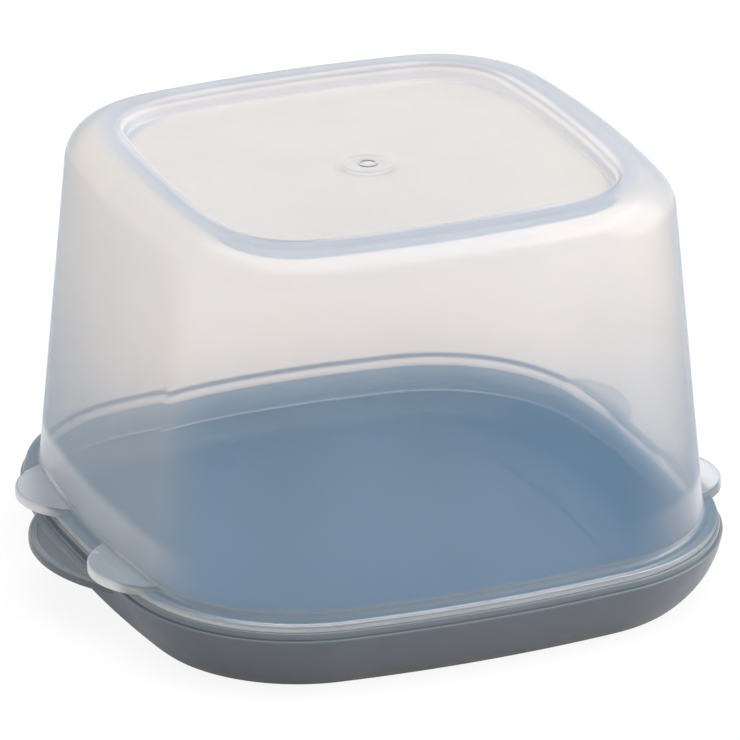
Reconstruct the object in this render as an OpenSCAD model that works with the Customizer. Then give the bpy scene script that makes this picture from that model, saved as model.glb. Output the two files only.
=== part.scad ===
// Food storage container: a shallow square tray and a high see-through dome that lifts off it.
// Millimetres, +Z up. The origin is the middle of the tray's foot, on the table.
// Each ring-shaped section is drawn once, as a profile, and swept round a square whose sides
// bow outwards and whose corners are round. In a profile, x is the distance outwards from the
// edge of the dome's flange, so it is negative inside it, and y is the height above the table.

/* [Plan] */
// Width of the dome's flange, across the middle of its sides
body_w = 200; // [180:1:240]
// Radius of the corners at the flange's edge
corner_r = 56.8; // [50:0.1:70]

/* [Tray] */
// Height of the tray's rim above the table
tray_h = 21.4; // [19:0.1:28]
// Thickness of the tray's wall and floor
tray_wall = 2; // [1.5:0.1:2.5]
// Height of the rim above the ledge outside it
rim_h = 2.3; // [1.5:0.1:3.5]
// How far the rim stands out past the dome's flange
rim_out = 0.8; // [0.7:0.1:1.2]
// Rounding of the rim's edges
rim_round = 0.6; // [0.2:0.1:0.8]
// How far the ledge's lip stands out past the dome's flange
lip_out = 1.8; // [1.5:0.1:3]
// Rounding of the lip
lip_round = 0.3; // [0.1:0.1:0.6]
// Radius of the bulge of the tray's outer wall
bulge_r = 30.6; // [26:0.1:45]
// How far the foot lies in from the flange's edge
foot_in = 9.1; // [8:0.1:12]
// Width of the foot
foot_w = 4.5; // [3:0.1:7]
// Height of the foot, which is the depth of the hollow under the floor
foot_h = 2; // [1:0.1:3]
// Radius between the tray's wall and its floor
floor_blend = 8; // [4:0.5:10]
// How far the raised band on the floor lies in from the flange's edge
band_in = 18; // [16:0.5:22]
// Width of the raised band
band_w = 15; // [8:0.5:18]
// Height of the raised band
band_h = 0.5; // [0.3:0.1:1.5]

/* [Tray tab] */
// How far the finger tab reaches past the dome's flange
grip_out = 12.3; // [8:0.1:20]
// Radius of the tab's outline
grip_r = 50.9; // [35:0.1:60]
// Thickness of the tab
grip_t = 2.4; // [2:0.1:4]
// Depth of the tab's top below the ledge
grip_drop = 0.4; // [0.4:0.1:1]
// Rounding of the tab's edge
grip_round = 1; // [0.3:0.1:1]
// Width of the border round the tab's sunken face
grip_border = 2.6; // [1.5:0.1:3]
// Depth of the tab's sunken face
grip_inset = 0.4; // [0.2:0.1:1]

/* [Dome] */
// Height of the dome above the tray's rim
dome_h = 116.5; // [80:0.5:160]
// Thickness of the dome's wall
dome_wall = 1.6; // [1.2:0.1:2.2]
// Lean of the dome's wall, in degrees
dome_draft = 5.5; // [3:0.1:7.5]
// Width of the flange, from its edge to the dome's wall
flange_w = 4.25; // [4:0.05:7]
// Thickness of the flange
flange_t = 2.1; // [1.5:0.1:3]
// Rounding of the flange's edge
flange_round = 0.35; // [0.1:0.05:0.6]
// Radius between the flange and the dome's wall
flange_fillet = 4; // [1:0.1:6]
// Height of the end of the dome's collar above the tray's floor
collar_lift = 8; // [7:0.1:12]
// Gap between the dome's collar and the tray's inner face
collar_gap = 0.9; // [0.4:0.1:1.5]
// Radius of the dome's shoulder
shoulder_r = 11.6; // [6:0.1:16]
// Width of the flat ring on top of the shoulder
ring_w = 5.7; // [2:0.1:9]
// Rounding of the ring's inner edge
ring_round = 1.2; // [0.5:0.1:2]
// Depth of the top panel below the ring
panel_drop = 5.1; // [3:0.1:10]
// Lean of the step from the ring down to the panel, in degrees
step_draft = 12; // [3:1:25]
// Rounding at the foot of the step
panel_round = 0.8; // [0.3:0.1:1.5]
// Outside diameter of the moulding ring in the middle of the panel
gate_d = 6.3; // [4:0.1:12]
// Width of the moulding ring
gate_w = 0.8; // [0.4:0.1:1.5]
// Height of the moulding ring
gate_h = 0.4; // [0.2:0.1:1]

/* [Dome tabs] */
// How far each tab reaches past the flange
tab_out = 6.6; // [4:0.1:10]
// Radius of a tab's outline
tab_r = 22; // [16:0.1:26]
// Distance of a tab from the middle of its side
tab_y = 32.3; // [26:0.1:36]
// Thickness of a tab
tab_t = 3; // [2.2:0.1:4]
// Height of a tab's underside above the tray's rim
tab_lift = 1; // [0.2:0.1:1.5]
// Rounding of a tab's edge
tab_round = 1; // [0.3:0.1:1]

/* [Hidden] */

// Steps in each rounded stretch of a profile, and facets of a full turn in the sweeps
arc_steps = 8;
side_steps = 720;
corner_steps = 180;
// Radius at which the swept part of a flat panel stops in the corners
core_r = 6.8;
// How far one solid runs into the next where they are joined
lap = 2;

// Sides and corners meet on the lines through their centres. Those lines are the long sides of
// right triangles in whole numbers, so that the sweeps meet exactly. The first two shares are the
// short sides: half of a side's bow sweeps the angle between the second and the third.
bow_shares = [17, 144, 145];
// Step to which the triangles' unit is kept
unit_step = 0.01;

half_w = body_w / 2;
unit_shares = bow_shares[0] - bow_shares[1] + bow_shares[2];
unit = round((half_w - corner_r) / unit_shares / unit_step) * unit_step;
// Place of each corner's centre along both axes, and of a side's centre beyond the origin
corner_c = bow_shares[0] * unit;
side_away = (bow_shares[1] - bow_shares[0]) * unit;
side_r = half_w + side_away;
turn_r = side_r - bow_shares[2] * unit;
side_half = atan2(bow_shares[0], bow_shares[1]);
// How far in from the flange's edge the sweeps reach
sweep_in = turn_r - core_r;

ledge_z = tray_h - rim_h;
floor_z = foot_h + tray_wall;
flange_z = tray_h + flange_t;
top_z = tray_h + dome_h;
panel_z = top_z - panel_drop;

function arc(c, r, from, to, first = 0) =
    [for (i = [first:arc_steps]) let (a = from + (to - from) * i / arc_steps) c + r * [cos(a), sin(a)]];
function angle_to(c, p) = atan2(p.y - c.y, p.x - c.x);
function turned(p, a) = [p.x * cos(a) - p.y * sin(a), p.x * sin(a) + p.y * cos(a)];
// Centre of the arc of radius r from p to q, on the left of the way from p to q
function arc_centre(p, q, r) =
    (p + q) / 2 + turned(q - p, 90) / norm(q - p) * sqrt(pow(r, 2) - pow(norm(q - p) / 2, 2));

// The dome's outer face at height z
function wall_x(z) = -flange_w - (z - flange_z) * tan(dome_draft);

collar_c = let (z = floor_z + collar_lift + dome_wall / 2) [wall_x(z) - dome_wall / 2 / cos(dome_draft), z];
// The tray's inner face stands this clear of the collar
rim_x = wall_x(collar_c.y) + collar_gap;

// The rim above the ledge, the wall's bulge and the blend into the floor
foot_p = [-foot_in, 0];
lip_p = [lip_out, ledge_z - lip_round];
bulge_c = arc_centre(foot_p, lip_p, bulge_r);
inner_r = bulge_r - tray_wall;
inner_top = -acos((rim_x - bulge_c.x) / inner_r);
inner_low = -asin((bulge_c.y - floor_z - floor_blend) / (inner_r - floor_blend));
blend_c = bulge_c + (inner_r - floor_blend) * [cos(inner_low), sin(inner_low)];

// The fillet above the flange is never wider than the flange
fillet_r = min(flange_fillet, (flange_w - flange_round) * cos(dome_draft) / (1 - sin(dome_draft)));
fillet_c = let (z = flange_z + fillet_r) [wall_x(z) + fillet_r / cos(dome_draft), z];
shoulder_c = let (z = top_z - shoulder_r) [wall_x(z) - shoulder_r / cos(dome_draft), z];
ring_c = [shoulder_c.x - ring_w, top_z - ring_round];

// The step's face at height z
function step_x(z) = ring_c.x - ring_round / cos(step_draft) + (z - ring_c.y) * tan(step_draft);
panel_c = let (z = panel_z + panel_round) [step_x(z) - panel_round / cos(step_draft), z];

tray_profile = concat(
    [[-foot_in - foot_w, 0]],
    arc(bulge_c, bulge_r, angle_to(bulge_c, foot_p), angle_to(bulge_c, lip_p)),
    arc([lip_out - lip_round, ledge_z - lip_round], lip_round, 0, 90, 1),
    [[rim_out, ledge_z]],
    arc([rim_out - rim_round, tray_h - rim_round], rim_round, 0, 90),
    arc([rim_x + rim_round, tray_h - rim_round], rim_round, 90, 180),
    arc(bulge_c, inner_r, inner_top, inner_low),
    arc(blend_c, floor_blend, inner_low, -90, 1),
    [[-band_in, floor_z], [-band_in - band_h, floor_z + band_h]],
    [[-band_in - band_w, floor_z + band_h], [-band_in - band_w - band_h, floor_z]],
    [[-sweep_in, floor_z], [-sweep_in, foot_h], [-foot_in - foot_w - foot_h, foot_h]]);

dome_profile = concat(
    arc(collar_c, dome_wall / 2, 180 + dome_draft, 360 + dome_draft),
    [[wall_x(tray_h), tray_h]],
    arc([-flange_round, tray_h + flange_round], flange_round, -90, 0),
    arc([-flange_round, flange_z - flange_round], flange_round, 0, 90),
    arc(fillet_c, fillet_r, 270, 180 + dome_draft),
    arc(shoulder_c, shoulder_r, dome_draft, 90),
    arc(ring_c, ring_round, 90, 180 - step_draft),
    arc(panel_c, panel_round, -step_draft, -90),
    [[-sweep_in, panel_z], [-sweep_in, panel_z - dome_wall]],
    arc(panel_c, panel_round + dome_wall, -90, -step_draft),
    [[step_x(top_z - dome_wall) + dome_wall / cos(step_draft), top_z - dome_wall]],
    arc(shoulder_c, shoulder_r - dome_wall, 90, dome_draft));

// A wedge from the origin between two directions, high enough to cut any sweep
module wedge(p, q) {
    translate([0, 0, -lap]) linear_extrude(top_z + 2 * lap) polygon([[0, 0], 2 * p, 2 * q]);
}

// Sweeps a profile round the square, as four sides and four corners
module around() {
    along = unit * bow_shares[1];
    across = unit * bow_shares[0];
    for (turn = [0:90:270]) rotate(turn) {
        translate([-side_away, 0, 0]) intersection() {
            rotate_extrude(angle = 4 * side_half, start = -2 * side_half, $fn = side_steps)
                translate([side_r, 0]) children();
            wedge([along, -across], [along, across]);
        }
        translate([corner_c, corner_c, 0]) intersection() {
            rotate_extrude(angle = 90, start = 0, $fn = corner_steps) translate([turn_r, 0]) children();
            wedge([along, across], [across, along]);
        }
    }
}

// Fills the middle that the sweeps leave open, between two heights
module middle(low, high) {
    fill = lap - sweep_in;
    quarter = concat(
        arc([-side_away, 0], side_r + fill, -side_half, side_half, 1),
        arc([corner_c, corner_c], turn_r + fill, side_half, 90 - side_half, 1));
    translate([0, 0, low]) linear_extrude(high - low)
        polygon([for (turn = [0:90:270], p = quarter) turned(p, turn)]);
}

// All that lies more than off outside the flange's edge, as far as reach, between two heights
module outside(off, reach, low, high) {
    around() translate([off, low]) square([reach - off, high - low]);
}

// A flat disc whose upper edge is round
module disc(r, thick, round_r) {
    rotate_extrude($fn = corner_steps) polygon(concat(
        [[0, 0], [r, 0]],
        arc([r - round_r, thick - round_r], round_r, 0, 90),
        [[0, thick]]));
}

// The tray's finger tab, just below the ledge, with a sunken face
module grip() {
    centre_x = -half_w - grip_out + grip_r;
    high = ledge_z - grip_drop;
    low = high - grip_t;
    difference() {
        intersection() {
            translate([centre_x, 0, low]) disc(grip_r, grip_t, grip_round);
            outside(0, grip_out + lap, low - lap, high + lap);
        }
        intersection() {
            translate([centre_x, 0, high - grip_inset])
                cylinder(h = grip_inset + lap, r = grip_r - grip_border, $fn = corner_steps);
            outside(lip_out + grip_border, grip_out + lap, low, high + 2 * lap);
        }
    }
}

// One of the dome's four tabs, joined to the middle of the dome's wall
module tab() {
    low = tray_h + tab_lift;
    intersection() {
        translate([half_w + tab_out - tab_r, tab_y, low]) disc(tab_r, tab_t, tab_round);
        outside(-flange_w - dome_wall / 2, tab_out + lap, low - lap, low + tab_t + lap);
    }
}

module tray_base() {
    color([0.36, 0.41, 0.46]) {
        around() polygon(tray_profile);
        middle(foot_h, floor_z);
        grip();
    }
}

module dome_cover() {
    color([0.84, 0.88, 0.93, 0.55]) {
        around() polygon(dome_profile);
        middle(panel_z - dome_wall, panel_z);
        for (sx = [0, 1], sy = [0, 1]) mirror([sx, 0, 0]) mirror([0, sy, 0]) tab();
        translate([0, 0, panel_z - dome_wall / 2]) difference() {
            cylinder(h = dome_wall / 2 + gate_h, d = gate_d, $fn = corner_steps);
            translate([0, 0, dome_wall / 2]) cylinder(h = lap, d = gate_d - 2 * gate_w, $fn = corner_steps);
        }
    }
}

tray_base();
dome_cover();
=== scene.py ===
"""Looks of the food storage container: a blue-grey tray under a milky see-through dome.

Metres, +Z up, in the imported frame. The dimensions are those of the solids, in millimetres: both
mouldings are lofted again from the same profiles, with finer rounding, and stand for their nodes.
"""

import math
from types import SimpleNamespace

import bmesh
import bpy
from mathutils import Matrix, Vector


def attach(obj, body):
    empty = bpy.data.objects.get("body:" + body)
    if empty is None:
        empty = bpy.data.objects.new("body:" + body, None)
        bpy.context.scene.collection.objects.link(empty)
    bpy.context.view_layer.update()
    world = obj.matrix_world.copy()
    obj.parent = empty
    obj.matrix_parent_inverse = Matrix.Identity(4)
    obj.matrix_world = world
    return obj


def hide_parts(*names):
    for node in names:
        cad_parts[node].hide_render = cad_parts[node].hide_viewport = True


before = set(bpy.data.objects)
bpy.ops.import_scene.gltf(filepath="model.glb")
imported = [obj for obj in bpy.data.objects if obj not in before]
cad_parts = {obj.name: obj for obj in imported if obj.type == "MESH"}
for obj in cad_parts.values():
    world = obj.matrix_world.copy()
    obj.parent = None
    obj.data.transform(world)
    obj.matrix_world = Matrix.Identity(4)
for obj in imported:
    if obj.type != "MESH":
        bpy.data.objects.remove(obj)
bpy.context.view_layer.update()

MM = 0.001

# Plan: a square whose sides bow outwards, with round corners
BODY_W = 200.0
BOW = (17, 144, 145)
UNIT = 2.4
CORNER_C = BOW[0] * UNIT
SIDE_AWAY = (BOW[1] - BOW[0]) * UNIT
SIDE_R = BODY_W / 2 + SIDE_AWAY
TURN_R = SIDE_R - BOW[2] * UNIT
SIDE_HALF = math.degrees(math.atan2(BOW[0], BOW[1]))
SWEEP_IN = 50.0

# Flat middles: the loops turn from the plan's shape into circles, down to a small one
MIDDLE_R = 12.0
UNDER_R = 6.0
CENTRE_R = 2.0
GATE_CENTRE_R = 1.0

# Tray
TRAY_H = 21.4
TRAY_WALL = 2.0
RIM_H = 2.3
RIM_OUT = 0.8
RIM_ROUND = 0.6
LIP_OUT = 1.8
LIP_ROUND = 0.3
BULGE_R = 30.6
FOOT_IN = 9.1
FOOT_W = 4.5
FOOT_H = 2.0
FLOOR_BLEND = 8.0
BAND_IN = 18.0
BAND_W = 15.0
BAND_H = 0.5

# Round mark in the middle of the tray's floor
MARK_R = 5.6
MARK_W = 0.8
MARK_H = 0.15
MARK_SLOPE = 0.2

# Tray tab
GRIP_OUT = 12.3
GRIP_R = 50.9
GRIP_T = 2.4
GRIP_DROP = 0.4
GRIP_ROUND = 1.0
GRIP_BORDER = 2.6
GRIP_INSET = 0.4
GRIP_SLOPE = 0.5

# Dome
DOME_H = 116.5
DOME_WALL = 1.6
DOME_DRAFT = 5.5
FLANGE_W = 4.25
FLANGE_T = 2.1
FLANGE_ROUND = 0.35
FLANGE_FILLET = 4.0
COLLAR_LIFT = 8.0
COLLAR_GAP = 0.9
SHOULDER_R = 11.6
RING_W = 5.7
RING_ROUND = 1.2
PANEL_DROP = 5.1
STEP_DRAFT = 12.0
PANEL_ROUND = 0.8
# The dome's seat stands this clear of the tray's rim, so that the two faces don't share a plane
SEAT_GAP = 0.05

# Moulding ring in the middle of the dome's panel, and the fine line round it
GATE_D = 6.3
GATE_W = 0.8
GATE_H = 0.4
GATE_ROUND = 0.2
LINE_R = 7.5
LINE_H = 0.08
LINE_SLOPE = 0.2

# Dome tabs
TAB_OUT = 6.6
TAB_R = 22.0
TAB_Y = 32.3
TAB_T = 3.0
TAB_LIFT = 1.0
TAB_ROUND = 1.0

# Fineness of the meshes
ARC_STEPS = 10
LONG_ARC_STEPS = 16
EDGE_STEPS = 6
FLANGE_STEPS = 4
GATE_STEPS = 3
MIDDLE_STEPS = 4
SIDE_STEPS = 16
CORNER_STEPS = 32
TAB_ARC = 40
TAB_PATH = 16
TAB_REACH = 120
HALVINGS = 40
SHARP_ANGLE = 32.0
LONG_WAY = 8.0
# The union can leave two points in one place: closer than this they become one
MERGE = 0.0002

# Dome plastic: bent and glossy light
DOME_IOR = 1.49
DOME_ROUGHNESS = 0.03
RING_ROUGHNESS = 0.25
THICK_ROUGHNESS = 0.45
SOFT_ROUGHNESS = 0.35
SOFT_SHARE = 0.2
SHINE_ROUGHNESS = 0.18
SHINE_OUT = (0.2, 0.2, 0.2)
SHINE_GRAZE = (0.45, 0.45, 0.45)
DOME_SHADOW = (0.93, 0.91, 0.88)

# Dome plastic: the tint of the light that passes, darker low down as a painted shade
TINT_THIN = (0.83, 0.72, 0.61)
# The lower wall passes less light: a painted shade of the shadowed floor behind it
TINT_LOW_SHADE = (0.66, 0.60, 0.54)
TINT_GRAZE = (0.57, 0.49, 0.42)
# Slanted lower wall, darker still: painted shade
TINT_GRAZE_SHADED = (0.34, 0.32, 0.31)
TINT_TOP = (0.59, 0.49, 0.38)
TINT_PANEL = (0.73, 0.61, 0.48)
TINT_RING = (0.47, 0.43, 0.40)
TINT_THICK = (0.25, 0.24, 0.24)
TINT_TAB = (0.76, 0.70, 0.65)
TINT_BRINK = (0.25, 0.24, 0.23)
TINT_COLLAR = (0.50, 0.47, 0.44)
TINT_FOOT = (0.40, 0.38, 0.36)

# Dome plastic: the milky share that scatters light, and a painted highlight
HAZE_THIN = (0.018, 0.118, 0.240)
HAZE_LOW = (0.025, 0.135, 0.280)
HAZE_GRAZE = (0.20, 0.28, 0.37)
HAZE_RING = (0.25, 0.31, 0.40)
HAZE_THICK = (0.17, 0.24, 0.32)
HAZE_TAB = (0.18, 0.24, 0.32)
HAZE_EDGE = (0.26, 0.30, 0.33)
HAZE_TAB_EDGE = (0.56, 0.60, 0.66)
# A thin bright line along the collar's lower end: painted highlight
TIP_HIGHLIGHT = (0.75, 0.80, 0.85)
HAZE_BRINK = (0.56, 0.57, 0.62)
HAZE_SIDE = (0.08, 0.15, 0.24)
HAZE_FAR = (0.22, 0.26, 0.30)
HAZE_BACK = (0.12, 0.15, 0.20)
HAZE_FOOT = (0.31, 0.35, 0.42)
HAZE_COLLAR = (0.34, 0.40, 0.48)
HAZE_COLLAR_OUT = (0.21, 0.26, 0.33)
HAZE_THROUGH = 0.5

# Dome plastic: where it changes. A pair gives the places of a smooth share's 0 and 1. These are
# of Layer Weight's Facing, of the upward part of the normal, and of its outward part in metres.
FACING_BLEND = 0.5
AT_SLANT = (0.15, 0.9)
AT_GRAZING = (0.6, 0.95)
AT_UPRIGHT = (0.6, 0.25)
AT_LEVEL = (0.25, 0.6)
AT_FLAT = (0.8, 0.95)
AT_ROUNDED = (0.95, 0.7)
AT_OUTER = (0.0, 0.002)
AT_INNER = (0.002, 0.0)
# These are heights over the ground, in millimetres
# Over this span of height the wall turns darker towards the bottom, a painted shade
SHADED_LOW_PART = (110.0, 25.0)
BACK_PART = (85.0, 35.0)
WALL_FOOT = (41.0, 36.0)
# These are millimetres from a height or a width that the shape gives. Widths of the top are
# measured by X^4 + Y^4, which stays the same round a square with round corners, and those of the
# tabs by X^2.
PLAN_POWER = 4
TAB_POWER = 2
FLANGE_TOP = (1.8, 0.1)
FLANGE_SEAT = (-0.5, 0.0)
TAB_TOP = (-1.0, -0.4)
TAB_BEYOND = (0.0, 4.0)
TIP_END = (1.4, 0.6)
COLLAR_TOP = (1.0, -1.0)
RING_INSIDE = (-1.0, 0.5)
RING_OUTSIDE = (11.0, 7.0)
BRINK_INSIDE = (-3.0, -1.5)
BRINK_OUTSIDE = (2.5, 0.0)
BRINK_TOP = (-3.0, -1.5)
PANEL_OUTSIDE = (0.5, -1.0)
PANEL_TOP = (-4.0, -2.5)
RING_UNDER_PANEL = 4.0

# Tray plastic, with a painted highlight on the rim and painted floor light on the bottom edge
TRAY_DARK = (0.080, 0.097, 0.120)
TRAY_LIGHT = (0.090, 0.109, 0.134)
# Lighter colour of the rim: a painted highlight
TRAY_RIM_HIGHLIGHT = (0.125, 0.155, 0.180)
# Warm lighter bottom edge: painted light reflected from the white floor
TRAY_FOOT_BOUNCE = (0.150, 0.136, 0.130)
TRAY_SHINE = 0.5
TRAY_ROUGHNESS = (0.34, 0.42)
RIM_ROUGHNESS = 0.2
RIM_LOW = (-1.0, 0.0)
FOOT_EDGE = (3.6, 0.6)

# Noises: scale and detail. Reliefs: distance in metres and strength.
NOISE_RANGE = (0.3, 0.7)
TRAY_CLOUD = (45.0, 3.0)
TRAY_SPECKLE = (160.0, 2.0)
TRAY_GRAIN = (2200.0, 1.0)
TRAY_RELIEF = (0.00002, 0.5)
DOME_CLOUD = (30.0, 3.0)
DOME_CLOUD_RANGE = (0.95, 1.05)
DOME_GRAIN = (500.0, 2.0)
DOME_RELIEF = (0.00003, 0.05)

# Floor and world
WHITE = (1.0, 1.0, 1.0)
BLACK = (0.0, 0.0, 0.0)
FLOOR_HALF = 30.0
PAPER_SEEN = (0.95, 0.95, 0.95)
PAPER_BOUNCE = (0.72, 0.68, 0.66)
PAPER_GLOW = 0.9
PAPER_THROUGH = 0.3
PAPER_LIGHT = 0.15
SKY_FILL = 0.42
# A ray whose diffuse depth is below this hasn't scattered yet
FIRST_BOUNCE = 0.5

# Lamps: name, place and size in metres, power in watts, colour
LAMPS = (
    ("top_lamp", (0.4, -0.1, 2.6), 4.0, 108.0, (1.0, 1.0, 1.0)),
    ("right_lamp", (2.4, -0.7, 1.2), 2.8, 64.0, (1.0, 0.98, 0.95)),
)

# Camera, as fitted to the photograph
VIEW_AZIMUTH = -22.66
VIEW_ELEVATION = 22.40
VIEW_ROLL = -0.12
VIEW_TARGET = (-5.40, -14.32, 69.21)
VIEW_DISTANCE = 2403.4
LENS = 371.7
SENSOR = 36.0
CLIP_NEAR = 0.05
CLIP_FAR = 100.0

LEDGE_Z = TRAY_H - RIM_H
FLOOR_Z = FOOT_H + TRAY_WALL
FLANGE_Z = TRAY_H + FLANGE_T
TOP_Z = TRAY_H + DOME_H
PANEL_Z = TOP_Z - PANEL_DROP


def cosd(angle):
    return math.cos(math.radians(angle))


def sind(angle):
    return math.sin(math.radians(angle))


def tand(angle):
    return math.tan(math.radians(angle))


def arc(centre, radius, start, end, steps=ARC_STEPS, first=0):
    """Points of an arc between two angles in degrees."""
    points = []
    for i in range(first, steps + 1):
        a = start + (end - start) * i / steps
        points.append((centre[0] + radius * cosd(a), centre[1] + radius * sind(a)))
    return points


def angle_to(centre, point):
    return math.degrees(math.atan2(point[1] - centre[1], point[0] - centre[0]))


def arc_centre(p, q, radius):
    """Centre of the arc of that radius from p to q, on the left of the way."""
    p, q = Vector(p), Vector(q)
    along = q - p
    left = Vector((-along.y, along.x)).normalized()
    return tuple((p + q) / 2 + left * math.sqrt(radius**2 - (along.length / 2) ** 2))


# Profiles: x is the distance outwards from the flange's edge, y the height
def wall_x(z):
    return -FLANGE_W - (z - FLANGE_Z) * tand(DOME_DRAFT)


collar_z = FLOOR_Z + COLLAR_LIFT + DOME_WALL / 2
collar_c = (wall_x(collar_z) - DOME_WALL / 2 / cosd(DOME_DRAFT), collar_z)
rim_x = wall_x(collar_z) + COLLAR_GAP

foot_p = (-FOOT_IN, 0)
lip_p = (LIP_OUT, LEDGE_Z - LIP_ROUND)
bulge_c = arc_centre(foot_p, lip_p, BULGE_R)
inner_r = BULGE_R - TRAY_WALL
inner_top = -math.degrees(math.acos((rim_x - bulge_c[0]) / inner_r))
inner_low = -math.degrees(math.asin((bulge_c[1] - FLOOR_Z - FLOOR_BLEND) / (inner_r - FLOOR_BLEND)))
blend_c = (
    bulge_c[0] + (inner_r - FLOOR_BLEND) * cosd(inner_low),
    bulge_c[1] + (inner_r - FLOOR_BLEND) * sind(inner_low),
)

fillet_r = min(
    FLANGE_FILLET, (FLANGE_W - FLANGE_ROUND) * cosd(DOME_DRAFT) / (1 - sind(DOME_DRAFT))
)
fillet_c = (wall_x(FLANGE_Z + fillet_r) + fillet_r / cosd(DOME_DRAFT), FLANGE_Z + fillet_r)
shoulder_z = TOP_Z - SHOULDER_R
shoulder_c = (wall_x(shoulder_z) - SHOULDER_R / cosd(DOME_DRAFT), shoulder_z)
ring_c = (shoulder_c[0] - RING_W, TOP_Z - RING_ROUND)


def step_x(z):
    return ring_c[0] - RING_ROUND / cosd(STEP_DRAFT) + (z - ring_c[1]) * tand(STEP_DRAFT)


panel_c = (
    step_x(PANEL_Z + PANEL_ROUND) - PANEL_ROUND / cosd(STEP_DRAFT),
    PANEL_Z + PANEL_ROUND,
)


def along_line(p, q, parts):
    """Points that share out the way from p to q, without its ends."""
    return [
        (p[0] + (q[0] - p[0]) * i / parts, p[1] + (q[1] - p[1]) * i / parts)
        for i in range(1, parts)
    ]


def joined(*stretches):
    """Joins stretches of a profile and shares out the long straight ways between them."""
    points = []
    for stretch in stretches:
        for point in stretch:
            if points:
                gap = math.dist(points[-1], point)
                if gap > LONG_WAY:
                    points += along_line(points[-1], point, math.ceil(gap / LONG_WAY))
            points.append(point)
    return points


tray_profile = joined(
    [(-SWEEP_IN, FOOT_H), (-FOOT_IN - FOOT_W - FOOT_H, FOOT_H), (-FOOT_IN - FOOT_W, 0)],
    arc(bulge_c, BULGE_R, angle_to(bulge_c, foot_p), angle_to(bulge_c, lip_p), LONG_ARC_STEPS),
    arc((LIP_OUT - LIP_ROUND, LEDGE_Z - LIP_ROUND), LIP_ROUND, 0, 90, EDGE_STEPS, 1),
    [(RIM_OUT, LEDGE_Z)],
    arc((RIM_OUT - RIM_ROUND, TRAY_H - RIM_ROUND), RIM_ROUND, 0, 90, EDGE_STEPS),
    arc((rim_x + RIM_ROUND, TRAY_H - RIM_ROUND), RIM_ROUND, 90, 180, EDGE_STEPS),
    arc(bulge_c, inner_r, inner_top, inner_low),
    arc(blend_c, FLOOR_BLEND, inner_low, -90, ARC_STEPS, 1),
    [(-BAND_IN, FLOOR_Z), (-BAND_IN - BAND_H, FLOOR_Z + BAND_H)],
    [(-BAND_IN - BAND_W, FLOOR_Z + BAND_H), (-BAND_IN - BAND_W - BAND_H, FLOOR_Z)],
    [(-SWEEP_IN, FLOOR_Z)],
)

seat_z = TRAY_H + SEAT_GAP
dome_profile = joined(
    [(-SWEEP_IN, PANEL_Z - DOME_WALL)],
    arc(panel_c, PANEL_ROUND + DOME_WALL, -90, -STEP_DRAFT),
    [(step_x(TOP_Z - DOME_WALL) + DOME_WALL / cosd(STEP_DRAFT), TOP_Z - DOME_WALL)],
    arc(shoulder_c, SHOULDER_R - DOME_WALL, 90, DOME_DRAFT),
    arc(collar_c, DOME_WALL / 2, 180 + DOME_DRAFT, 360 + DOME_DRAFT),
    [(wall_x(seat_z), seat_z)],
    arc((-FLANGE_ROUND, seat_z + FLANGE_ROUND), FLANGE_ROUND, -90, 0, FLANGE_STEPS),
    arc((-FLANGE_ROUND, FLANGE_Z - FLANGE_ROUND), FLANGE_ROUND, 0, 90, FLANGE_STEPS),
    arc(fillet_c, fillet_r, 270, 180 + DOME_DRAFT),
    arc(shoulder_c, SHOULDER_R, DOME_DRAFT, 90, LONG_ARC_STEPS),
    arc(ring_c, RING_ROUND, 90, 180 - STEP_DRAFT),
    arc(panel_c, PANEL_ROUND, -STEP_DRAFT, -90),
    [(-SWEEP_IN, PANEL_Z)],
)


# Plan loops
def turned(point, angle):
    return (
        point[0] * cosd(angle) - point[1] * sind(angle),
        point[0] * sind(angle) + point[1] * cosd(angle),
    )


def plan(offset):
    """One loop round the square at that distance outwards from the flange's edge."""
    quarter = arc((-SIDE_AWAY, 0), SIDE_R + offset, -SIDE_HALF, SIDE_HALF, SIDE_STEPS, 1)
    quarter += arc(
        (CORNER_C, CORNER_C), TURN_R + offset, SIDE_HALF, 90 - SIDE_HALF, CORNER_STEPS, 1
    )
    return [turned(point, turn) for turn in (0, 90, 180, 270) for point in quarter]


def circle(radius):
    """A round loop with its points in the same directions as the plan's."""
    return [tuple(Vector(point).normalized() * radius) for point in plan(-SWEEP_IN)]


def between(first, second, share):
    return [tuple(Vector(p).lerp(Vector(q), share)) for p, q in zip(first, second)]


def at_height(loop, z):
    return [(x * MM, y * MM, z * MM) for x, y in loop]


def swept(profile):
    return [at_height(plan(x), z) for x, z in profile]


def rounded_in(z):
    """Loops across a flat middle, from the sweep's inner edge to a circle."""
    return [
        at_height(between(plan(-SWEEP_IN), circle(MIDDLE_R), i / MIDDLE_STEPS), z)
        for i in range(1, MIDDLE_STEPS + 1)
    ]


def circles(*points):
    """Round loops, each of a radius and at a height."""
    return [at_height(circle(r), z) for r, z in points]


# Tabs: discs clipped by the plan
def side_of(point):
    """The centre and radius of the plan's arc that a point in the first quadrant faces."""
    for centre in ((-SIDE_AWAY, 0), (0, -SIDE_AWAY)):
        along = angle_to(centre, point)
        away = along if centre[1] == 0 else 90 - along
        if away <= SIDE_HALF:
            return centre, SIDE_R
    return (CORNER_C, CORNER_C), TURN_R


def mirrored_in(point):
    """The point brought into the first quadrant, and the signs that bring it back."""
    signs = (math.copysign(1, point[0]), math.copysign(1, point[1]))
    return (abs(point[0]), abs(point[1])), signs


def offset_of(point):
    """How far a point lies outwards from the flange's edge."""
    near, _ = mirrored_in(point)
    centre, radius = side_of(near)
    return math.dist(near, centre) - radius


def moved_to(point, offset):
    """The point of the plan at that offset that faces a point."""
    near, signs = mirrored_in(point)
    centre, radius = side_of(near)
    reach = (Vector(near) - Vector(centre)).normalized() * (radius + offset)
    return ((centre[0] + reach.x) * signs[0], (centre[1] + reach.y) * signs[1])


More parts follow.
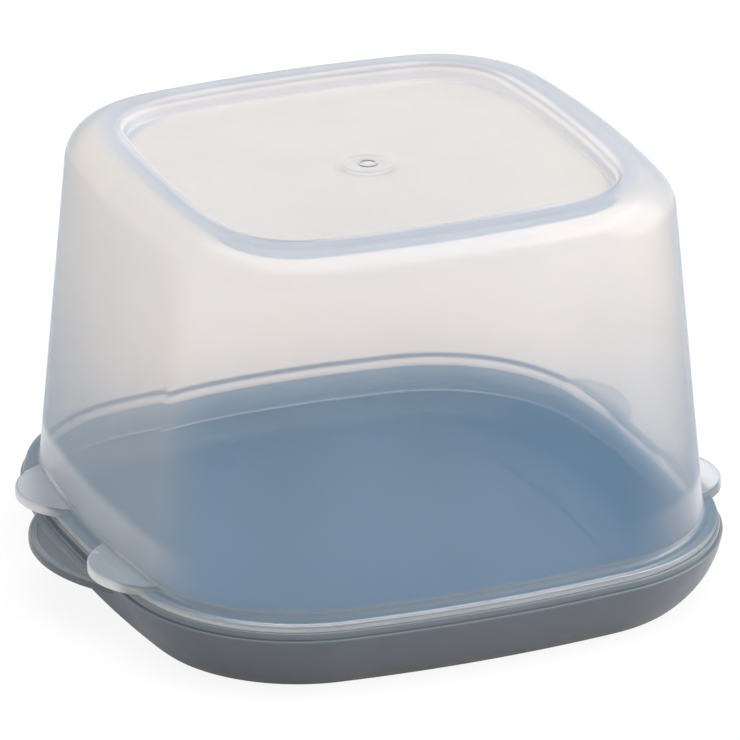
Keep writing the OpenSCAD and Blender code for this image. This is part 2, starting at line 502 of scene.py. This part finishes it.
def crossing(centre, radius, inside, outside, offset):
    """The angle at which a circle crosses the plan at that offset, by halving."""
    for _ in range(HALVINGS):
        middle = (inside + outside) / 2
        point = (centre[0] + radius * cosd(middle), centre[1] + radius * sind(middle))
        if offset_of(point) < offset:
            inside = middle
        else:
            outside = middle
    return outside


def clipped(centre, radius, offset, facing):
    """The part of a circle outside the plan at that offset: its arc, then back along the plan."""
    start = crossing(centre, radius, facing - TAB_REACH, facing, offset)
    end = crossing(centre, radius, facing + TAB_REACH, facing, offset)
    round_part = arc(centre, radius, start, end, TAB_ARC)
    way = along_line(round_part[-1], round_part[0], TAB_PATH)
    return round_part + [moved_to(point, offset) for point in way]


def edge_rounding(radius, high, rounding):
    """Radii and heights of a disc's rounded upper edge."""
    return arc((radius - rounding, high - rounding), rounding, 0, 90, EDGE_STEPS)


# Objects
def add_object(name, data):
    obj = bpy.data.objects.new(name, data)
    bpy.context.scene.collection.objects.link(obj)
    return obj


def loft(name, loops, flat_ends=False):
    """A closed mesh through loops of equal length, whose ends close to a point or lie flat."""
    mesh = bpy.data.meshes.new(name)
    bm = bmesh.new()
    rings = [[bm.verts.new(point) for point in loop] for loop in loops]
    count = len(rings[0])
    for low, high in zip(rings, rings[1:]):
        for i in range(count):
            j = (i + 1) % count
            bm.faces.new((low[i], low[j], high[j], high[i]))
    for ring in (rings[0], rings[-1]):
        if flat_ends:
            bm.faces.new(ring)
            continue
        middle = bm.verts.new(sum((v.co for v in ring), Vector()) / count)
        for i in range(count):
            bm.faces.new((ring[i], ring[(i + 1) % count], middle))
    bmesh.ops.recalc_face_normals(bm, faces=bm.faces)
    bm.to_mesh(mesh)
    bm.free()
    return add_object(name, mesh)


def grip():
    """The tray's finger tab with its sunken face."""
    centre = (-BODY_W / 2 - GRIP_OUT + GRIP_R, 0)
    high = LEDGE_Z - GRIP_DROP
    border = (GRIP_R - GRIP_BORDER, LIP_OUT + GRIP_BORDER)
    outlines = [(GRIP_R, 0, high - GRIP_T)]
    outlines += [(r, 0, z) for r, z in edge_rounding(GRIP_R, high, GRIP_ROUND)]
    outlines += [(border[0], border[1], high)]
    outlines += [(border[0] - GRIP_SLOPE, border[1] + GRIP_SLOPE, high - GRIP_INSET)]
    loops = [at_height(clipped(centre, r, offset, 180), z) for r, offset, z in outlines]
    return loft("grip", loops, flat_ends=True)


def tab(sx, sy):
    """One of the dome's four tabs."""
    low = TRAY_H + TAB_LIFT
    centre = (sx * (BODY_W / 2 + TAB_OUT - TAB_R), sy * TAB_Y)
    inner = -FLANGE_W - DOME_WALL / 2
    outlines = [(TAB_R, low)] + edge_rounding(TAB_R, low + TAB_T, TAB_ROUND)
    facing = 0 if sx > 0 else 180
    loops = [at_height(clipped(centre, r, inner, facing), z) for r, z in outlines]
    return loft("tab", loops, flat_ends=True)


def unite(obj, others):
    """Joins closed pieces into obj as one skin, and removes them."""
    for other in others:
        cut = obj.modifiers.new("join", "BOOLEAN")
        cut.operation = "UNION"
        cut.solver = "EXACT"
        cut.object = other
    graph = bpy.context.evaluated_depsgraph_get()
    mesh = bpy.data.meshes.new_from_object(obj.evaluated_get(graph))
    bm = bmesh.new()
    bm.from_mesh(mesh)
    bmesh.ops.remove_doubles(bm, verts=bm.verts, dist=MERGE * MM)
    bm.to_mesh(mesh)
    bm.free()
    obj.modifiers.clear()
    old = obj.data
    obj.data = mesh
    bpy.data.meshes.remove(old)
    mesh.name = obj.name
    for other in others:
        bpy.data.objects.remove(other)


def dress(obj, material):
    """Smooths a moulding between its sharp edges and gives it its one material."""
    obj.data.shade_smooth()
    obj.data.set_sharp_from_angle(angle=math.radians(SHARP_ANGLE))
    obj.data.materials.clear()
    obj.data.materials.append(material)


# Shader nodes
def add_node(tree, kind, inputs, **settings):
    """The outputs of a new node. An input is a number, a colour or another node's output."""
    node = tree.nodes.new("ShaderNode" + kind)
    for name, value in settings.items():
        setattr(node, name, value)
    for name, value in inputs.items():
        socket = node.inputs[name]
        if isinstance(value, (int, float)):
            socket.default_value = value
        elif isinstance(value, tuple):
            socket.default_value = (*value, 1)
        else:
            tree.links.new(value, socket)
    return node.outputs


def new_material(name, make_surface):
    """A material whose surface is the shader that make_surface builds in its tree."""
    mat = bpy.data.materials.new(name)
    mat.use_nodes = True
    mat.node_tree.nodes.clear()
    add_node(mat.node_tree, "OutputMaterial", {"Surface": make_surface(mat.node_tree)})
    return mat


def mapped(tree, value, from_pair, to_pair, kind="LINEAR"):
    """A value brought from one range to another, and held within it."""
    names = ("From Min", "From Max", "To Min", "To Max")
    inputs = dict(zip(names, (*from_pair, *to_pair)))
    return add_node(tree, "MapRange", {"Value": value, **inputs}, interpolation_type=kind)["Result"]


def spread(tree, value, pair):
    """A smooth share from 0 at the pair's first number to 1 at its second."""
    return mapped(tree, value, pair, (0.0, 1.0), "SMOOTHSTEP")


def zone(tree, value, place, pair, power=1):
    """A smooth share between two distances from a place, for a value that is a length's power."""
    return spread(tree, value, [((place + away) * MM) ** power for away in pair])


def number_mix(tree, share, first, second):
    """A blend of two numbers, each a plain number or another node's output."""
    return mapped(tree, share, (0.0, 1.0), (first, second))


def colour_mix(tree, share, first, second):
    """A blend of two colours, each a plain colour or another node's output."""
    inputs = {"Factor": share, "A": first, "B": second}
    return add_node(tree, "Mix", inputs, data_type="RGBA")["Result"]


def layered(tree, colour, *layers):
    """A colour with others laid over it in turn, each by its own share."""
    for share, over in layers:
        colour = colour_mix(tree, share, colour, over)
    return colour


def shader_mix(tree, share, first, second):
    return add_node(tree, "MixShader", {"Fac": share, 1: first, 2: second})["Shader"]


def combined(tree, operation, total, *values):
    """One number from several, by the operation of a Math node."""
    for value in values:
        total = add_node(tree, "Math", {0: total, 1: value}, operation=operation)["Value"]
    return total


def product(tree, *shares):
    return combined(tree, "MULTIPLY", *shares)


def noise(tree, coords, scale_and_detail):
    scale, detail = scale_and_detail
    inputs = {"Vector": coords, "Scale": scale, "Detail": detail}
    return add_node(tree, "TexNoise", inputs)["Fac"]


def noise_range(tree, coords, scale_and_detail, pair):
    """A noise whose middle part is spread over a range."""
    return mapped(tree, noise(tree, coords, scale_and_detail), NOISE_RANGE, pair)


def relief(tree, height, distance_and_strength):
    distance, strength = distance_and_strength
    inputs = {"Distance": distance, "Strength": strength, "Height": height}
    return add_node(tree, "Bump", inputs)["Normal"]


# Materials
def tray_plastic(tree):
    """Satin blue-grey polypropylene with a faint cloudiness and a fine moulded grain, a painted
    highlight on the rim and painted floor light on the bottom edge.
    """
    coords = add_node(tree, "TexCoord", {})["Object"]
    height = add_node(tree, "SeparateXYZ", {"Vector": coords})["Z"]
    # Near the rim the colour turns lighter, a painted highlight, and the plastic smoother
    rim_highlight = zone(tree, height, LEDGE_Z, RIM_LOW)
    colour = layered(
        tree,
        TRAY_DARK,
        (noise_range(tree, coords, TRAY_CLOUD, (0.0, 1.0)), TRAY_LIGHT),
        (rim_highlight, TRAY_RIM_HIGHLIGHT),
        # Bottom edge painted warm and lighter: painted floor bounce light
        (zone(tree, height, 0.0, FOOT_EDGE), TRAY_FOOT_BOUNCE),
    )
    rough = noise_range(tree, coords, TRAY_SPECKLE, TRAY_ROUGHNESS)
    inputs = {
        "Base Color": colour,
        "Roughness": number_mix(tree, rim_highlight, rough, RIM_ROUGHNESS),
        "Specular IOR Level": TRAY_SHINE,
        "Normal": relief(tree, noise(tree, coords, TRAY_GRAIN), TRAY_RELIEF),
    }
    return add_node(tree, "BsdfPrincipled", inputs)["BSDF"]


def dome_zones(tree, coords, geometry):
    """Shares, from 0 to 1, that say which part of the dome a point is on and how it is seen."""
    place = add_node(tree, "SeparateXYZ", {"Vector": coords})
    height = place["Z"]
    normal = add_node(tree, "SeparateXYZ", {"Vector": geometry["Normal"]})
    slope = add_node(tree, "Math", {0: normal["Z"]}, operation="ABSOLUTE")["Value"]
    inputs = {0: geometry["Normal"], 1: geometry["Position"]}
    outwards = add_node(tree, "VectorMath", inputs, operation="DOT_PRODUCT")["Value"]
    facing = add_node(tree, "LayerWeight", {"Blend": FACING_BLEND})["Facing"]
    across = product(tree, place["X"], place["X"])
    along = product(tree, place["Y"], place["Y"])
    away = combined(tree, "ADD", product(tree, across, across), product(tree, along, along))

    tab_top = TRAY_H + TAB_LIFT + TAB_T
    panel_edge = BODY_W / 2 + panel_c[0]
    ring_edge = BODY_W / 2 + ring_c[0]
    ring_heights = (shoulder_z * MM, (PANEL_Z - RING_UNDER_PANEL) * MM)

    at = SimpleNamespace()
    at.slant = spread(tree, facing, AT_SLANT)
    at.grazing = spread(tree, facing, AT_GRAZING)
    at.upright = spread(tree, slope, AT_UPRIGHT)
    at.level = spread(tree, slope, AT_LEVEL)
    at.outer = spread(tree, outwards, AT_OUTER)
    at.inner = spread(tree, outwards, AT_INNER)
    # Lower part: less light passes there, a painted shade, and the haze is a little bluer
    at.low = zone(tree, height, 0.0, SHADED_LOW_PART)
    at.side = product(tree, at.slant, at.upright, at.outer)
    at.top = product(tree, at.slant, at.level)
    at.foot = product(tree, zone(tree, height, 0.0, WALL_FOOT), at.slant, at.outer)
    at.back = product(tree, at.inner, at.upright, zone(tree, height, 0.0, BACK_PART))
    at.collar = zone(tree, height, TRAY_H, COLLAR_TOP)
    at.tip = zone(tree, height, FLOOR_Z + COLLAR_LIFT, TIP_END)
    at.seat = product(
        tree, zone(tree, height, tab_top, FLANGE_TOP), zone(tree, height, TRAY_H, FLANGE_SEAT)
    )
    at.flange = product(tree, at.seat, at.outer)
    at.tab_face = product(
        tree, at.flange, spread(tree, slope, AT_FLAT), zone(tree, height, tab_top, TAB_TOP)
    )
    at.tab_edge = product(
        tree,
        at.flange,
        spread(tree, slope, AT_ROUNDED),
        zone(tree, across, BODY_W / 2, TAB_BEYOND, TAB_POWER),
    )
    at.panel = product(
        tree,
        zone(tree, away, panel_edge, PANEL_OUTSIDE, PLAN_POWER),
        zone(tree, height, PANEL_Z, PANEL_TOP),
    )
    at.ring = product(
        tree,
        zone(tree, away, panel_edge, RING_INSIDE, PLAN_POWER),
        zone(tree, away, panel_edge, RING_OUTSIDE, PLAN_POWER),
        spread(tree, height, ring_heights),
    )
    at.brink = product(
        tree,
        zone(tree, away, ring_edge, BRINK_INSIDE, PLAN_POWER),
        zone(tree, away, ring_edge, BRINK_OUTSIDE, PLAN_POWER),
        zone(tree, height, TOP_Z, BRINK_TOP),
    )
    return at


def dome_glass(tree, at, backfacing, normal):
    """The light that passes the dome, sharp, soft or straight, and its gloss."""
    tint = layered(
        tree,
        TINT_THIN,
        # Lower and slanted lower wall darkened: painted shade
        (at.low, TINT_LOW_SHADE),
        (at.side, colour_mix(tree, at.low, TINT_GRAZE, TINT_GRAZE_SHADED)),
        (at.top, TINT_TOP),
        (at.panel, TINT_PANEL),
        (at.ring, TINT_RING),
        (at.brink, TINT_BRINK),
        (at.foot, TINT_FOOT),
        (at.collar, TINT_COLLAR),
        (at.flange, TINT_THICK),
        (at.tab_face, TINT_TAB),
        (backfacing, WHITE),
    )
    sharpness = number_mix(tree, at.ring, DOME_ROUGHNESS, RING_ROUGHNESS)
    sharpness = number_mix(tree, at.seat, sharpness, THICK_ROUGHNESS)
    bent = {"Color": tint, "IOR": DOME_IOR, "Normal": normal}
    sharp = add_node(tree, "BsdfRefraction", {**bent, "Roughness": sharpness})["BSDF"]
    soft = add_node(tree, "BsdfRefraction", {**bent, "Roughness": SOFT_ROUGHNESS})["BSDF"]
    straight = add_node(tree, "BsdfTransparent", {"Color": tint})["BSDF"]
    passed = shader_mix(tree, SOFT_SHARE, sharp, soft)
    passed = shader_mix(tree, at.collar, passed, straight)
    shine = layered(
        tree,
        SHINE_OUT,
        (at.grazing, SHINE_GRAZE),
        (at.seat, SHINE_OUT),
        (at.tip, WHITE),
        (backfacing, WHITE),
    )
    inputs = {"Color": shine, "Roughness": SHINE_ROUGHNESS, "Normal": normal}
    gloss = add_node(tree, "BsdfGlossy", inputs)["BSDF"]
    fresnel = add_node(tree, "Fresnel", {"IOR": DOME_IOR})["Fac"]
    return shader_mix(tree, fresnel, passed, gloss)


def dome_haze(tree, at, backfacing, coords):
    """The milky share, which scatters light to both sides of the wall, and a painted highlight
    along the collar's lower end.
    """
    milk = layered(
        tree,
        HAZE_THIN,
        (at.low, HAZE_LOW),
        (at.back, HAZE_BACK),
        (product(tree, at.slant, at.upright), HAZE_FAR),
        (at.side, HAZE_SIDE),
        (at.top, HAZE_GRAZE),
        (at.ring, HAZE_RING),
        (at.brink, HAZE_BRINK),
        (at.foot, HAZE_FOOT),
        (at.collar, HAZE_COLLAR),
        (product(tree, at.collar, at.outer), HAZE_COLLAR_OUT),
        # Collar's lower end painted bright: painted highlight
        (at.tip, TIP_HIGHLIGHT),
        (at.flange, HAZE_THICK),
        (at.tab_face, HAZE_TAB),
        (product(tree, at.flange, at.upright), HAZE_EDGE),
        (at.tab_edge, HAZE_TAB_EDGE),
        (backfacing, BLACK),
    )
    cloud = noise_range(tree, coords, DOME_CLOUD, DOME_CLOUD_RANGE)
    cloudy = add_node(tree, "VectorMath", {"Vector": milk, "Scale": cloud}, operation="SCALE")
    lit = add_node(tree, "BsdfDiffuse", {"Color": cloudy["Vector"]})["BSDF"]
    through = add_node(tree, "BsdfTranslucent", {"Color": cloudy["Vector"]})["BSDF"]
    return shader_mix(tree, HAZE_THROUGH, lit, through)


def dome_plastic(tree):
    """Milky polypropylene: warm in passing light, hazy blue where it scatters light."""
    coords = add_node(tree, "TexCoord", {})["Object"]
    geometry = add_node(tree, "NewGeometry", {})
    backfacing = geometry["Backfacing"]
    at = dome_zones(tree, coords, geometry)
    normal = relief(tree, noise(tree, coords, DOME_GRAIN), DOME_RELIEF)
    glass = dome_glass(tree, at, backfacing, normal)
    haze = dome_haze(tree, at, backfacing, coords)
    body = add_node(tree, "AddShader", {0: glass, 1: haze})["Shader"]
    # Shadows and diffuse light pass plainly, so that the inside isn't lit twice
    clear = add_node(tree, "BsdfTransparent", {"Color": DOME_SHADOW})["BSDF"]
    path = add_node(tree, "LightPath", {})
    plain = combined(tree, "MAXIMUM", path["Is Shadow Ray"], path["Is Diffuse Ray"])
    return shader_mix(tree, plain, body, clear)


def seen_rays(tree):
    """1 for rays that look at a surface straight, in a gloss or through a see-through piece."""
    path = add_node(tree, "LightPath", {})
    names = ("Is Camera Ray", "Is Glossy Ray", "Is Transmission Ray")
    looking = combined(tree, "MAXIMUM", *(path[name] for name in names))
    direct = combined(tree, "LESS_THAN", path["Diffuse Depth"], FIRST_BOUNCE)
    return product(tree, looking, direct)


def floor_paper(tree):
    """White paper that looks white wherever no shadow lies on it."""
    seen = seen_rays(tree)
    paper = colour_mix(tree, seen, PAPER_BOUNCE, PAPER_SEEN)
    camera_ray = add_node(tree, "LightPath", {})["Is Camera Ray"]
    glow_seen = number_mix(tree, camera_ray, PAPER_THROUGH, PAPER_GLOW)
    share = number_mix(tree, seen, PAPER_LIGHT, glow_seen)
    diffuse = add_node(tree, "BsdfDiffuse", {"Color": paper})["BSDF"]
    glow = add_node(tree, "Emission", {"Strength": 1.0})["Emission"]
    return shader_mix(tree, share, diffuse, glow)


# The tray
mark_top = FLOOR_Z + MARK_H
tray = loft(
    "tray_shell",
    rounded_in(FOOT_H)[::-1]
    + swept(tray_profile)
    + rounded_in(FLOOR_Z)
    + circles(
        (MARK_R, FLOOR_Z),
        (MARK_R - MARK_SLOPE, mark_top),
        (MARK_R - MARK_W + MARK_SLOPE, mark_top),
        (MARK_R - MARK_W, FLOOR_Z),
        (CENTRE_R, FLOOR_Z),
    ),
)
unite(tray, [grip()])
dress(tray, new_material("tray_plastic", tray_plastic))
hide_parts("tray_base")
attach(tray, "tray")

# The dome
under_z = PANEL_Z - DOME_WALL
gate_out = GATE_D / 2
gate_in = gate_out - GATE_W
gate_z = PANEL_Z + GATE_H - GATE_ROUND
dome = loft(
    "dome_shell",
    circles((CENTRE_R, under_z), (UNDER_R, under_z))
    + rounded_in(under_z)[::-1]
    + swept(dome_profile)
    + rounded_in(PANEL_Z)
    + circles(
        (LINE_R + LINE_SLOPE, PANEL_Z),
        (LINE_R, PANEL_Z + LINE_H),
        (LINE_R - LINE_SLOPE, PANEL_Z),
        (gate_out, PANEL_Z),
        *arc((gate_out - GATE_ROUND, gate_z), GATE_ROUND, 0, 90, GATE_STEPS),
        *arc((gate_in + GATE_ROUND, gate_z), GATE_ROUND, 90, 180, GATE_STEPS),
        (gate_in, PANEL_Z),
        (GATE_CENTRE_R, PANEL_Z),
    ),
)
unite(dome, [tab(sx, sy) for sx in (1, -1) for sy in (1, -1)])
dress(dome, new_material("dome_plastic", dome_plastic))
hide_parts("dome_cover")
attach(dome, "dome")


# Floor, world and lamps
def sheet(name, half, material):
    """A square sheet round the origin, on the ground."""
    mesh = bpy.data.meshes.new(name)
    corners = [(-half, -half, 0.0), (half, -half, 0.0), (half, half, 0.0), (-half, half, 0.0)]
    mesh.from_pydata(corners, [], [(0, 1, 2, 3)])
    mesh.materials.append(material)
    return add_object(name, mesh)


sheet("floor", FLOOR_HALF, new_material("floor_paper", floor_paper))

world = bpy.data.worlds.new("studio")
bpy.context.scene.world = world
world.use_nodes = True
sky = world.node_tree
background = sky.nodes["Background"]
background.inputs["Color"].default_value = (*WHITE, 1)
sky.links.new(number_mix(sky, seen_rays(sky), SKY_FILL, 1.0), background.inputs["Strength"])


def lamp(name, place, size, power, colour):
    """A soft square lamp that faces the middle of the container."""
    light = bpy.data.lights.new(name, "AREA")
    light.size = size
    light.energy = power
    light.color = colour
    obj = add_object(name, light)
    obj.location = place
    aim = Vector((0, 0, TOP_Z / 2 * MM)) - Vector(place)
    obj.rotation_mode = "QUATERNION"
    obj.rotation_quaternion = aim.to_track_quat("-Z", "Y")
    obj.visible_camera = False


for values in LAMPS:
    lamp(*values)

# Camera
back = Vector(
    (
        sind(VIEW_AZIMUTH) * cosd(VIEW_ELEVATION),
        -cosd(VIEW_AZIMUTH) * cosd(VIEW_ELEVATION),
        sind(VIEW_ELEVATION),
    )
)
right = (-back).cross(Vector((0, 0, 1))).normalized()
up = right.cross(-back)
right, up = (
    right * cosd(VIEW_ROLL) + up * sind(VIEW_ROLL),
    up * cosd(VIEW_ROLL) - right * sind(VIEW_ROLL),
)
camera_data = bpy.data.cameras.new("camera")
camera_data.lens = LENS
camera_data.sensor_width = SENSOR
camera_data.clip_start = CLIP_NEAR
camera_data.clip_end = CLIP_FAR
camera = add_object("camera", camera_data)
camera_place = (Vector(VIEW_TARGET) + back * VIEW_DISTANCE) * MM
camera_turn = Matrix((right, up, back)).transposed().to_4x4()
camera.matrix_world = Matrix.Translation(camera_place) @ camera_turn
bpy.context.scene.camera = camera
bpy.context.scene.view_settings.view_transform = "Standard"
